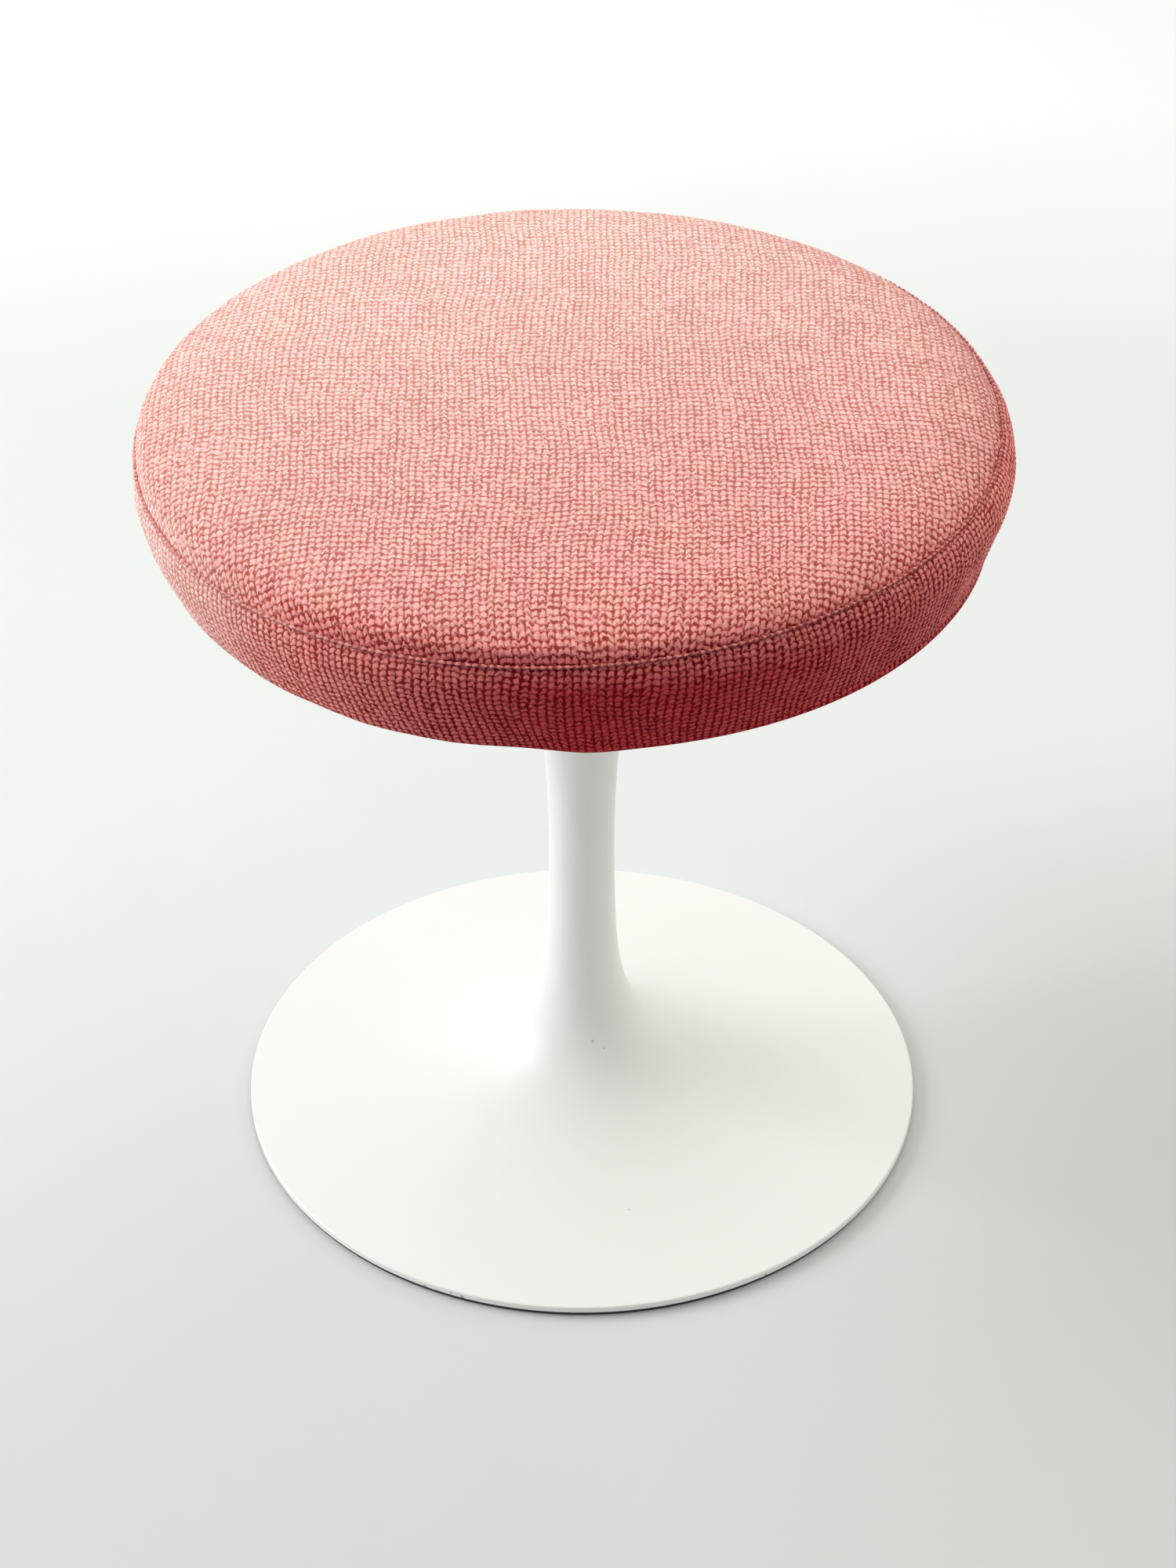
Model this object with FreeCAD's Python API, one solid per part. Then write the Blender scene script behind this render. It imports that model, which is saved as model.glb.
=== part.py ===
import FreeCAD, Part
import math
import os

# A round upholstered stool on a cast trumpet pedestal. Its seat turns on the pedestal.
# All sizes are in millimetres and degrees. Z is up. The stool stands on z = 0, its axis at x = y = 0.

# Pedestal: a disc with a flat cone, flaring up into a stem with a waist and a widening neck
BASE_R = 165.0
BASE_EDGE_T = 3.5
BASE_EDGE_ROUND = 0.8
BASE_WALL = 4.5
BASE_SLOPE_DEG = 5.0
BASE_FLARE = 22.4
WAIST_R = 15.4
WAIST_Z = 150.0
NECK_R = 28.3
PEDESTAL_H = 288.0
HOLLOW_TOP_Z = 100.0
STEM_BORE_R = 12.0

# Glide ring under the rim of the pedestal
GLIDE_H = 2.5
GLIDE_W = 5.5
GLIDE_INSET = 1.5
GLIDE_TONGUE_W = 2.0
GLIDE_TONGUE_H = 1.6
GLIDE_GROOVE_EASE = 0.1

# Spindle and bushes of the swivel
SPINDLE_R = 10.0
SPINDLE_TAIL_R = 8.0
SPINDLE_STEP = 6.0
SPINDLE_HEAD_R = 15.0
SPINDLE_HEAD_T = 3.0
BUSH_WALL = 3.0
BUSH_FLANGE_T = 2.0
UPPER_FLANGE_R = 19.0
UPPER_BUSH_L = 24.0
LOWER_BUSH_WALL = 2.5
LOWER_BUSH_L = 22.0
LOWER_BUSH_DROP = 84.0
THRUST_T = 1.5
RUNNING_FIT = 0.05
PRESS_FIT = 0.02
END_PLAY = 0.3

# Screw and washers that keep the spindle in the stem
KEEPER_R = 11.4
KEEPER_T = 2.5
LOCK_WASHER_R = 7.0
LOCK_WASHER_T = 1.8
LOCK_WASHER_SPLIT = 1.2
RETAINER_R = 4.0
RETAINER_L = 20.0
RETAINER_HEAD_R = 6.5
RETAINER_HEAD_H = 8.0
RETAINER_KEY = 6.0
RETAINER_KEY_DEPTH = 4.0
WASHER_EASE = 0.3

# Swivel plate, and the screws and inserts that hold the shell to it
PLATE_R = 46.0
PLATE_T = 5.5
PLATE_BOSS_R = 19.4
PLATE_BOSS_L = 20.0
HUB_PIN_R = 2.5
HUB_PIN_SETBACK = 0.4
SCREW_COUNT = 4
SCREW_CIRCLE_R = 34.0
SCREW_R = 3.0
SCREW_L = 12.0
SCREW_HEAD_R = 5.8
SCREW_KEY = 4.0
SCREW_KEY_DEPTH = 2.1
SCREW_HOLE_EASE = 0.3
INSERT_R = 4.4
INSERT_L = 7.5
INSERT_HOLE_SPARE = 0.5

# Moulded shell: a shallow dish on a trumpet hub, with a ledge and a lip round its rim
SHELL_R = 170.0
SHELL_DEPTH = 38.3
SHELL_HUB_R = 26.0
SHELL_FLARE = 9.0
SHELL_SLOPE_DEG = 6.0
SHELL_WALL = 4.0
SHELL_EDGE_T = 5.5
SHELL_EDGE_ROUND = 1.2
SHELL_LIP_W = 3.2
SHELL_LIP_H = 2.8
SHELL_HOLE_EASE = 0.6
HUB_GAP = 1.2
LEDGE_W = 23.0

# Hook and loop strips that hold the cushion in the shell
STRIP_COUNT = 4
STRIP_W = 16.0
STRIP_ARC_DEG = 28.0
STRIP_EDGE = 2.5

# Cushion: a boxed cover round a foam pad on a plywood board
LIP_CLEARANCE = 0.4
SEAM_R = 187.6
BAND_H = 48.2
CUSHION_BASE_R = SEAM_R - 9.6
CORNER_OUT = 5.2
CORNER_RISE = 3.4
SIDE_R = SEAM_R + 1.4
SIDE_RISE = 19.0
BULGE_R = SEAM_R + 4.7
BULGE_RISE = 41.0
OVERHANG_R = SEAM_R + 1.5
OVERHANG_RISE = 3.0
SHOULDER_RISE = 6.8
BROW_R = SEAM_R - 7.1
BROW_RISE = 11.4
CROWN_R = SEAM_R - 27.6
CROWN_FALL = 5.2
CROWN_RISE = 20.2
CLOTH_T = 1.4
CLOTH_EASE = 0.1
SEAM_SPLIT = 0.6
WELT_R = 1.3
WELT_EASE = 0.3
BOARD_R = CUSHION_BASE_R - 3.0
BOARD_T = 10.0
BOARD_EASE = 0.2
DUST_COVER_T = 0.6
DUST_COVER_GAP = 0.8

# Staples that hold the turned-under cloth and the dust cover to the board
STAPLE_COUNT = 36
STAPLE_SETBACK = 5.0
STAPLE_HEM_W = 4.5
STAPLE_W = 10.0
STAPLE_WIRE = 0.7
STAPLE_LEG = 6.0

# Heights and radii that follow from the sizes above
BASE_EDGE_TOP_Z = GLIDE_H + BASE_EDGE_T
LOWER_SHOULDER_Z = PEDESTAL_H - LOWER_BUSH_DROP
LOWER_FLANGE_Z = LOWER_SHOULDER_Z - BUSH_FLANGE_T
UPPER_BUSH_Z = PEDESTAL_H - UPPER_BUSH_L
FLANGE_TOP_Z = PEDESTAL_H + BUSH_FLANGE_T
THRUST_TOP_Z = FLANGE_TOP_Z + THRUST_T
UPPER_BUSH_R = SPINDLE_R + RUNNING_FIT + BUSH_WALL
LOWER_BUSH_R = SPINDLE_TAIL_R + RUNNING_FIT + LOWER_BUSH_WALL
SPINDLE_END_Z = LOWER_FLANGE_Z - END_PLAY
KEEPER_BOTTOM_Z = SPINDLE_END_Z - KEEPER_T
LOCK_BOTTOM_Z = KEEPER_BOTTOM_Z - LOCK_WASHER_T
BOSS_BOTTOM_Z = THRUST_TOP_Z + RUNNING_FIT
PLATE_BOTTOM_Z = BOSS_BOTTOM_Z + PLATE_BOSS_L
PLATE_TOP_Z = PLATE_BOTTOM_Z + PLATE_T
HUB_PIN_Z = BOSS_BOTTOM_Z + PLATE_BOSS_L / 2
HUB_BOTTOM_Z = PEDESTAL_H + HUB_GAP
BOSS_HOLE_R = PLATE_BOSS_R + SHELL_HOLE_EASE
SHELL_EDGE_Z = HUB_BOTTOM_Z + SHELL_DEPTH
SHELL_TOP_Z = SHELL_EDGE_Z + SHELL_EDGE_T
LEDGE_Z = SHELL_TOP_Z - SHELL_LIP_H
LEDGE_OUT_R = SHELL_R - SHELL_LIP_W
STRIP_OUT_R = LEDGE_OUT_R - STRIP_EDGE
STRIP_IN_R = STRIP_OUT_R - STRIP_W
DUST_COVER_R = STRIP_IN_R - DUST_COVER_GAP
STAPLE_CIRCLE_R = DUST_COVER_R - STAPLE_SETBACK
HEM_R = STAPLE_CIRCLE_R - STAPLE_HEM_W
CUSHION_BOTTOM_Z = SHELL_TOP_Z + LIP_CLEARANCE
STRIP_T = (CUSHION_BOTTOM_Z - LEDGE_Z) / 2
BOARD_BOTTOM_Z = CUSHION_BOTTOM_Z + CLOTH_T
BOARD_TOP_Z = BOARD_BOTTOM_Z + BOARD_T
SEAM_Z = CUSHION_BOTTOM_Z + BAND_H
CROWN_Z = SEAM_Z + CROWN_RISE

CENTRE = FreeCAD.Vector(0, 0, 0)
AXIS = FreeCAD.Vector(0, 0, 1)
OUTWARD = FreeCAD.Vector(1, 0, 0)


def at(r, z):
    """A point of an outline, r from the axis and z above the floor."""
    return FreeCAD.Vector(r, 0, z)


def smooth(points, start=None, end=None):
    """A curve through points, with its directions at both ends where they matter."""
    curve = Part.BSplineCurve()
    if start is None:
        curve.interpolate(Points=points)
    else:
        curve.interpolate(Points=points, InitialTangent=start, FinalTangent=end, Scale=False)
    return curve


def inset(curve, points, distance):
    """The curve moved square to itself by a distance, to the left of the way it runs."""
    directions = [curve.tangent(curve.parameter(point))[0] for point in points]
    moved = []
    for point, along in zip(points, directions):
        moved.append(point + FreeCAD.Vector(-along.z, 0, along.x) * distance)
    return smooth(moved, directions[0], directions[-1])


def backward(curve):
    """The same curve, run from its end to its start."""
    turned_round = curve.copy()
    turned_round.reverse()
    return turned_round


def turned(*stretches):
    """A solid of revolution. A stretch is a curve or a list of points, and straight lines join them up."""
    edges = []
    ends = []
    for stretch in stretches:
        if isinstance(stretch, list):
            points = stretch
            edges += [Part.makeLine(a, b) for a, b in zip(points, points[1:])]
        else:
            points = [stretch.StartPoint, stretch.EndPoint]
            edges.append(stretch.toShape())
        ends.append((points[0], points[-1]))
    for i, (first, last) in enumerate(ends):
        following = ends[(i + 1) % len(ends)][0]
        if last.distanceToPoint(following) > 1e-6:
            edges.append(Part.makeLine(last, following))
    wire = Part.Wire(Part.__sortEdges__(edges))
    return Part.Face(wire).revolve(CENTRE, AXIS, 360)


def disc(radius, bottom, top):
    """A plain round plate or rod on the axis."""
    return Part.makeCylinder(radius, top - bottom, at(0, bottom))


def ring(inner, outer, bottom, top):
    """A plain ring on the axis."""
    return turned([at(inner, bottom), at(outer, bottom), at(outer, top), at(inner, top)])


def hexagon(across, x, bottom, top):
    """A six-sided key recess, centred at x."""
    corner = across / 2 / math.cos(math.radians(30))
    points = []
    for i in range(7):
        angle = math.radians(60 * i)
        points.append(FreeCAD.Vector(x + corner * math.cos(angle), corner * math.sin(angle), bottom))
    return Part.Face(Part.makePolygon(points)).extrude(FreeCAD.Vector(0, 0, top - bottom))


def around(shape, count):
    """Copies of a shape, spaced evenly round the axis."""
    copies = []
    for i in range(count):
        copy = shape.copy()
        copy.rotate(CENTRE, AXIS, 360 * i / count)
        copies.append(copy)
    return Part.makeCompound(copies)


def quarter(corner, from_point, to_point, radius):
    """A quarter-round arc that takes off a square corner between two directions."""
    before = corner + (from_point - corner).normalize() * radius
    after = corner + (to_point - corner).normalize() * radius
    centre = before + after - corner
    middle = centre + (corner - centre).normalize() * radius
    return Part.Arc(before, middle, after)


def trumpet_steepness(spread, flare, slope_deg):
    """How fast a trumpet closes in, for its slope at the edge."""
    return flare / math.tan(math.radians(slope_deg)) / spread


def trumpet_r(below_edge, edge_r, inner_r, flare, slope_deg):
    """Radius of a trumpet at a distance along its axis from its edge."""
    spread = edge_r - inner_r
    steepness = trumpet_steepness(spread, flare, slope_deg)
    return inner_r + spread / (steepness * math.exp(below_edge / flare) + 1 - steepness)


def pedestal_r(z):
    """Outer radius of the pedestal at height z."""
    radius = trumpet_r(z - BASE_EDGE_TOP_Z, BASE_R, WAIST_R, BASE_FLARE, BASE_SLOPE_DEG)
    widening = max(0, (z - WAIST_Z) / (PEDESTAL_H - WAIST_Z))
    return radius + (NECK_R - WAIST_R) * widening**2


def pedestal_points():
    """Points up the outside of the pedestal: close together where it flares."""
    flare_steps = 11
    neck_steps = 4
    crowding = 2.4
    points = []
    for i in range(flare_steps + 1):
        z = BASE_EDGE_TOP_Z + (WAIST_Z - BASE_EDGE_TOP_Z) * (i / flare_steps) ** crowding
        points.append(at(pedestal_r(z), z))
    for i in range(1, neck_steps + 1):
        z = WAIST_Z + (PEDESTAL_H - WAIST_Z) * i / neck_steps
        points.append(at(pedestal_r(z), z))
    return points


def glide_section(ease):
    """The glide ring, or with ease the groove that its tongue sits in."""
    outer = BASE_R - GLIDE_INSET
    inner = outer - GLIDE_W
    middle = (inner + outer) / 2
    half = GLIDE_TONGUE_W / 2 + ease
    tongue = ring(middle - half, middle + half, GLIDE_H - ease, GLIDE_H + GLIDE_TONGUE_H + ease)
    if ease:
        return tongue
    foot = ring(inner, outer, 0, GLIDE_H)
    return foot.fuse(tongue).removeSplitter()


def make_pedestal():
    points = pedestal_points()
    outside = smooth(points)
    rim_corner = at(BASE_R, GLIDE_H)
    blank = turned(
        outside,
        [at(0, PEDESTAL_H), at(0, GLIDE_H)],
        quarter(rim_corner, at(0, GLIDE_H), points[0], BASE_EDGE_ROUND),
    )
    hollow_points = [point for point in points if point.z <= HOLLOW_TOP_Z]
    wall_line = inset(outside, hollow_points, BASE_WALL)
    hollow = turned(wall_line, [at(0, wall_line.EndPoint.z), at(0, 0), at(wall_line.StartPoint.x, 0)])
    stem_bore = disc(STEM_BORE_R, 0, LOWER_SHOULDER_Z)
    lower_seat = disc(LOWER_BUSH_R + PRESS_FIT, 0, UPPER_BUSH_Z)
    upper_seat = disc(UPPER_BUSH_R + PRESS_FIT, UPPER_BUSH_Z, PEDESTAL_H)
    casting = blank.cut([hollow, stem_bore, lower_seat, upper_seat, glide_section(GLIDE_GROOVE_EASE)])
    rim = [edge for edge in casting.Edges if is_rim(edge)]
    return casting.makeFillet(BASE_EDGE_ROUND, rim)


def is_rim(edge):
    """True for the upper edge of the pedestal's rim."""
    box = edge.BoundBox
    return abs(box.XMax - BASE_R) < 0.01 and abs(box.ZMin - BASE_EDGE_TOP_Z) < 0.01 and box.ZLength < 0.01


def make_glide_ring():
    return glide_section(0)


def make_upper_bush():
    bore = SPINDLE_R + RUNNING_FIT
    sleeve = ring(bore, UPPER_BUSH_R, UPPER_BUSH_Z, PEDESTAL_H)
    return sleeve.fuse(ring(bore, UPPER_FLANGE_R, PEDESTAL_H, FLANGE_TOP_Z)).removeSplitter()


def make_lower_bush():
    bore = SPINDLE_TAIL_R + RUNNING_FIT
    sleeve = ring(bore, LOWER_BUSH_R, LOWER_SHOULDER_Z, LOWER_SHOULDER_Z + LOWER_BUSH_L)
    flange = ring(bore, STEM_BORE_R - PRESS_FIT, LOWER_FLANGE_Z, LOWER_SHOULDER_Z)
    return sleeve.fuse(flange).removeSplitter()


def make_thrust_washer():
    return ring(SPINDLE_R + WASHER_EASE, UPPER_FLANGE_R, FLANGE_TOP_Z, THRUST_TOP_Z)


def cross_rod(radius, reach):
    """A rod across the boss of the swivel plate, reaching as far on both sides of the axis."""
    return Part.makeCylinder(radius, 2 * reach, FreeCAD.Vector(-reach, 0, HUB_PIN_Z), OUTWARD)


def hub_pin_hole():
    return cross_rod(HUB_PIN_R + PRESS_FIT, PLATE_BOSS_R + HUB_PIN_R)


def make_spindle():
    step_z = UPPER_BUSH_Z - SPINDLE_STEP
    head_z = PLATE_TOP_Z - SPINDLE_HEAD_T
    shaft = disc(SPINDLE_R, step_z, PLATE_TOP_Z)
    tail = disc(SPINDLE_TAIL_R, SPINDLE_END_Z, step_z)
    head = disc(SPINDLE_HEAD_R, head_z, PLATE_TOP_Z)
    thread = disc(RETAINER_R + PRESS_FIT, SPINDLE_END_Z, SPINDLE_END_Z + RETAINER_L)
    return shaft.fuse([tail, head]).removeSplitter().cut([thread, hub_pin_hole()])


def make_keeper_washer():
    return ring(RETAINER_R + WASHER_EASE, KEEPER_R, KEEPER_BOTTOM_Z, SPINDLE_END_Z)


def make_lock_washer():
    whole = ring(RETAINER_R + WASHER_EASE, LOCK_WASHER_R, LOCK_BOTTOM_Z, KEEPER_BOTTOM_Z)
    corner = FreeCAD.Vector(0, -LOCK_WASHER_SPLIT / 2, LOCK_BOTTOM_Z)
    return whole.cut(Part.makeBox(LOCK_WASHER_R + 1, LOCK_WASHER_SPLIT, LOCK_WASHER_T, corner))


def make_retaining_screw():
    bottom = LOCK_BOTTOM_Z - RETAINER_HEAD_H
    shank_top = LOCK_BOTTOM_Z + RETAINER_L
    head = disc(RETAINER_HEAD_R, bottom, LOCK_BOTTOM_Z)
    shank = disc(RETAINER_R, LOCK_BOTTOM_Z, shank_top)
    socket = hexagon(RETAINER_KEY, 0, bottom, bottom + RETAINER_KEY_DEPTH)
    return head.fuse(shank).removeSplitter().cut(socket)


def screw_cone(ease):
    """The countersunk head of a plate screw, or with ease its seat, at its place on the screw circle."""
    head_h = SCREW_HEAD_R - SCREW_R
    bottom = at(SCREW_CIRCLE_R, PLATE_TOP_Z - head_h)
    return Part.makeCone(SCREW_R + ease, SCREW_HEAD_R + ease, head_h, bottom)


def make_swivel_plate():
    plate = disc(PLATE_R, PLATE_BOTTOM_Z, PLATE_TOP_Z)
    boss = disc(PLATE_BOSS_R, BOSS_BOTTOM_Z, PLATE_BOTTOM_Z)
    bore = disc(SPINDLE_R + PRESS_FIT, BOSS_BOTTOM_Z, PLATE_TOP_Z)
    head_seat = disc(SPINDLE_HEAD_R + PRESS_FIT, PLATE_TOP_Z - SPINDLE_HEAD_T, PLATE_TOP_Z)
    hole = Part.makeCylinder(SCREW_R + SCREW_HOLE_EASE, PLATE_T, at(SCREW_CIRCLE_R, PLATE_BOTTOM_Z))
    holes = around(hole.fuse(screw_cone(PRESS_FIT)), SCREW_COUNT)
    return plate.fuse(boss).removeSplitter().cut([bore, head_seat, hub_pin_hole(), holes])


def make_hub_pin():
    return cross_rod(HUB_PIN_R, PLATE_BOSS_R - HUB_PIN_SETBACK)


def make_plate_screws():
    head_h = SCREW_HEAD_R - SCREW_R
    shank = Part.makeCylinder(SCREW_R, SCREW_L - head_h, at(SCREW_CIRCLE_R, PLATE_TOP_Z - SCREW_L))
    socket = hexagon(SCREW_KEY, SCREW_CIRCLE_R, PLATE_TOP_Z - SCREW_KEY_DEPTH, PLATE_TOP_Z)
    return around(shank.fuse(screw_cone(0)).cut(socket), SCREW_COUNT)


def make_shell_inserts():
    place = at(SCREW_CIRCLE_R, PLATE_BOTTOM_Z - INSERT_L)
    body = Part.makeCylinder(INSERT_R, INSERT_L, place)
    thread = Part.makeCylinder(SCREW_R + PRESS_FIT, INSERT_L, place)
    return around(body.cut(thread), SCREW_COUNT)


def shell_points():
    """Points from the bottom of the hub out along the underside of the shell."""
    steps = 9
    points = []
    for i in range(steps + 1):
        below = SHELL_DEPTH * (1 - i / steps) ** 2
        radius = trumpet_r(below, SHELL_R, SHELL_HUB_R, SHELL_FLARE, SHELL_SLOPE_DEG)
        points.append(at(radius, SHELL_EDGE_Z - below))
    return points


def make_shell():
    points = shell_points()
    underside = smooth(points)
    top_corner = at(SHELL_R, SHELL_TOP_Z)
    blank = turned(
        underside,
        quarter(top_corner, points[-1], at(0, SHELL_TOP_Z), SHELL_EDGE_ROUND),
        [at(0, SHELL_TOP_Z), at(0, HUB_BOTTOM_Z)],
    )
    wall_line = inset(underside, points, SHELL_WALL)
    first = wall_line.StartPoint
    last = wall_line.EndPoint
    lid_z = last.z + SHELL_EDGE_T
    over_wall = turned(wall_line, [at(last.x, lid_z), at(0, lid_z), at(0, first.z)])
    dish = over_wall.common(disc(LEDGE_OUT_R - LEDGE_W, PLATE_BOTTOM_Z, lid_z))
    recess = disc(LEDGE_OUT_R, LEDGE_Z, SHELL_TOP_Z)
    boss_hole = disc(BOSS_HOLE_R, HUB_BOTTOM_Z, SHELL_TOP_Z)
    insert_depth = INSERT_L + INSERT_HOLE_SPARE
    insert_place = at(SCREW_CIRCLE_R, PLATE_BOTTOM_Z - insert_depth)
    insert_hole = Part.makeCylinder(INSERT_R + PRESS_FIT, insert_depth, insert_place)
    return blank.cut([dish, recess, boss_hole, around(insert_hole, SCREW_COUNT)])


def strips(bottom):
    """Curved strips on the ledge of the shell."""
    top = bottom + STRIP_T
    corners = [at(STRIP_IN_R, bottom), at(STRIP_OUT_R, bottom), at(STRIP_OUT_R, top), at(STRIP_IN_R, top)]
    section = Part.Face(Part.makePolygon(corners + corners[:1]))
    section.rotate(CENTRE, AXIS, (360 / STRIP_COUNT - STRIP_ARC_DEG) / 2)
    return around(section.revolve(CENTRE, AXIS, STRIP_ARC_DEG), STRIP_COUNT)


def make_hook_strips():
    return strips(LEDGE_Z)


def make_loop_strips():
    return strips(LEDGE_Z + STRIP_T)


def make_board():
    return disc(BOARD_R, BOARD_BOTTOM_Z, BOARD_TOP_Z)


def band_points():
    """The side of the cushion, from its flat underside round the corner and up to the seam."""
    return [
        at(CUSHION_BASE_R, CUSHION_BOTTOM_Z),
        at(CUSHION_BASE_R + CORNER_OUT, CUSHION_BOTTOM_Z + CORNER_RISE),
        at(SIDE_R, CUSHION_BOTTOM_Z + SIDE_RISE),
        at(BULGE_R, CUSHION_BOTTOM_Z + BULGE_RISE),
        at(SEAM_R, SEAM_Z - SEAM_SPLIT / 2),
    ]


def top_points():
    """The top of the cushion, from the seam over the shoulder and the crown to the centre."""
    points = [
        at(SEAM_R, SEAM_Z + SEAM_SPLIT / 2),
        at(OVERHANG_R, SEAM_Z + OVERHANG_RISE),
        at(SEAM_R, SEAM_Z + SHOULDER_RISE),
        at(BROW_R, SEAM_Z + BROW_RISE),
    ]
    for share in (1, 0.7, 0.35, 0):
        points.append(at(CROWN_R * share, CROWN_Z - CROWN_FALL * share**2))
    return points


def band_curve():
    return smooth(band_points(), OUTWARD, FreeCAD.Vector(-0.8, 0, 0.6))


def top_curve():
    return smooth(top_points(), FreeCAD.Vector(0.6, 0, 0.8), OUTWARD * -1)


def welt(radius):
    """The raised seam round the cushion."""
    return Part.makeTorus(SEAM_R, radius, at(0, SEAM_Z))


def make_foam():
    depth = CLOTH_T + CLOTH_EASE
    side = inset(band_curve(), band_points(), depth)
    top = inset(top_curve(), top_points(), depth)
    pocket_r = BOARD_R + BOARD_EASE
    pocket = [at(0, BOARD_TOP_Z), at(pocket_r, BOARD_TOP_Z), at(pocket_r, side.StartPoint.z)]
    block = turned(side, top, pocket)
    return block.cut(welt(WELT_R + WELT_EASE))


def make_cover_top():
    outside = top_curve()
    inside = inset(outside, top_points(), CLOTH_T)
    return turned(outside, backward(inside)).cut(welt(WELT_R + WELT_EASE))


def make_cover_band():
    outside = band_curve()
    inside = inset(outside, band_points(), CLOTH_T)
    hem = [at(HEM_R, inside.StartPoint.z), at(HEM_R, CUSHION_BOTTOM_Z)]
    return turned(outside, backward(inside), hem).cut(welt(WELT_R + WELT_EASE))


def make_cover_seam():
    return welt(WELT_R)


def make_dust_cover():
    return disc(DUST_COVER_R, CUSHION_BOTTOM_Z - DUST_COVER_T, CUSHION_BOTTOM_Z)


def make_staples():
    crown_z = CUSHION_BOTTOM_Z - DUST_COVER_T - STAPLE_WIRE
    corner = FreeCAD.Vector(STAPLE_CIRCLE_R, -STAPLE_W / 2, crown_z)
    crown = Part.makeBox(STAPLE_WIRE, STAPLE_W, STAPLE_WIRE, corner)
    leg = Part.makeBox(STAPLE_WIRE, STAPLE_WIRE, STAPLE_LEG, corner)
    far_leg = leg.translated(FreeCAD.Vector(0, STAPLE_W - STAPLE_WIRE, 0))
    return around(crown.fuse([leg, far_leg]).removeSplitter(), STAPLE_COUNT)


PIECES = {
    "pedestal": make_pedestal,
    "glide_ring": make_glide_ring,
    "upper_bush": make_upper_bush,
    "lower_bush": make_lower_bush,
    "thrust_washer": make_thrust_washer,
    "swivel_spindle": make_spindle,
    "keeper_washer": make_keeper_washer,
    "lock_washer": make_lock_washer,
    "retaining_screw": make_retaining_screw,
    "swivel_plate": make_swivel_plate,
    "hub_pin": make_hub_pin,
    "plate_screws": make_plate_screws,
    "shell_inserts": make_shell_inserts,
    "seat_shell": make_shell,
    "hook_strips": make_hook_strips,
    "loop_strips": make_loop_strips,
    "seat_board": make_board,
    "foam_pad": make_foam,
    "cover_top": make_cover_top,
    "cover_band": make_cover_band,
    "cover_seam": make_cover_seam,
    "dust_cover": make_dust_cover,
    "cover_staples": make_staples,
}


def main():
    os.makedirs("parts", exist_ok=True)
    for name, make in PIECES.items():
        shape = make()
        shape.exportStep(os.path.join("parts", name + ".step"))
        print(name, "solids", len(shape.Solids), "volume", round(shape.Volume), "valid", shape.isValid())


main()
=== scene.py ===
import math

import bpy
import numpy as np
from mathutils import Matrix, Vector


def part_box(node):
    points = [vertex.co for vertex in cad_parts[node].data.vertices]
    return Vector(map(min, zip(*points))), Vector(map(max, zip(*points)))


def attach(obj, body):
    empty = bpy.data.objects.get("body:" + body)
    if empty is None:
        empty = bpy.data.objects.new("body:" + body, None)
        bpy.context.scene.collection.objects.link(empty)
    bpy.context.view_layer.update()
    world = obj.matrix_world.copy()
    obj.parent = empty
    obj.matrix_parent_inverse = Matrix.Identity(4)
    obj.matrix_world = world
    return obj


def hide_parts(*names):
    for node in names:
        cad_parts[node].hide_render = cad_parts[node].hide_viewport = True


# A round upholstered stool on a cast trumpet pedestal. Blender gets metres. The cushion and what lies under it are
# worked out in millimetres, which turned() and MM bring to metres.
# Azimuths are measured round the stool from the front (-Y), positive towards the right (+X).

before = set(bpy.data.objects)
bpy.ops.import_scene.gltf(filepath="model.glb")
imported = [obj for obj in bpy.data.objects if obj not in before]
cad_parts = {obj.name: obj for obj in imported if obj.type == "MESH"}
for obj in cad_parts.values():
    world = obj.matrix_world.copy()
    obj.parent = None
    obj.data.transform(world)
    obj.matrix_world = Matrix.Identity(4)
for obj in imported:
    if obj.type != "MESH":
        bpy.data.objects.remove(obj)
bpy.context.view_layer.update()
MM = 0.001
rng = np.random.default_rng(7)


# Node helpers

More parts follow.
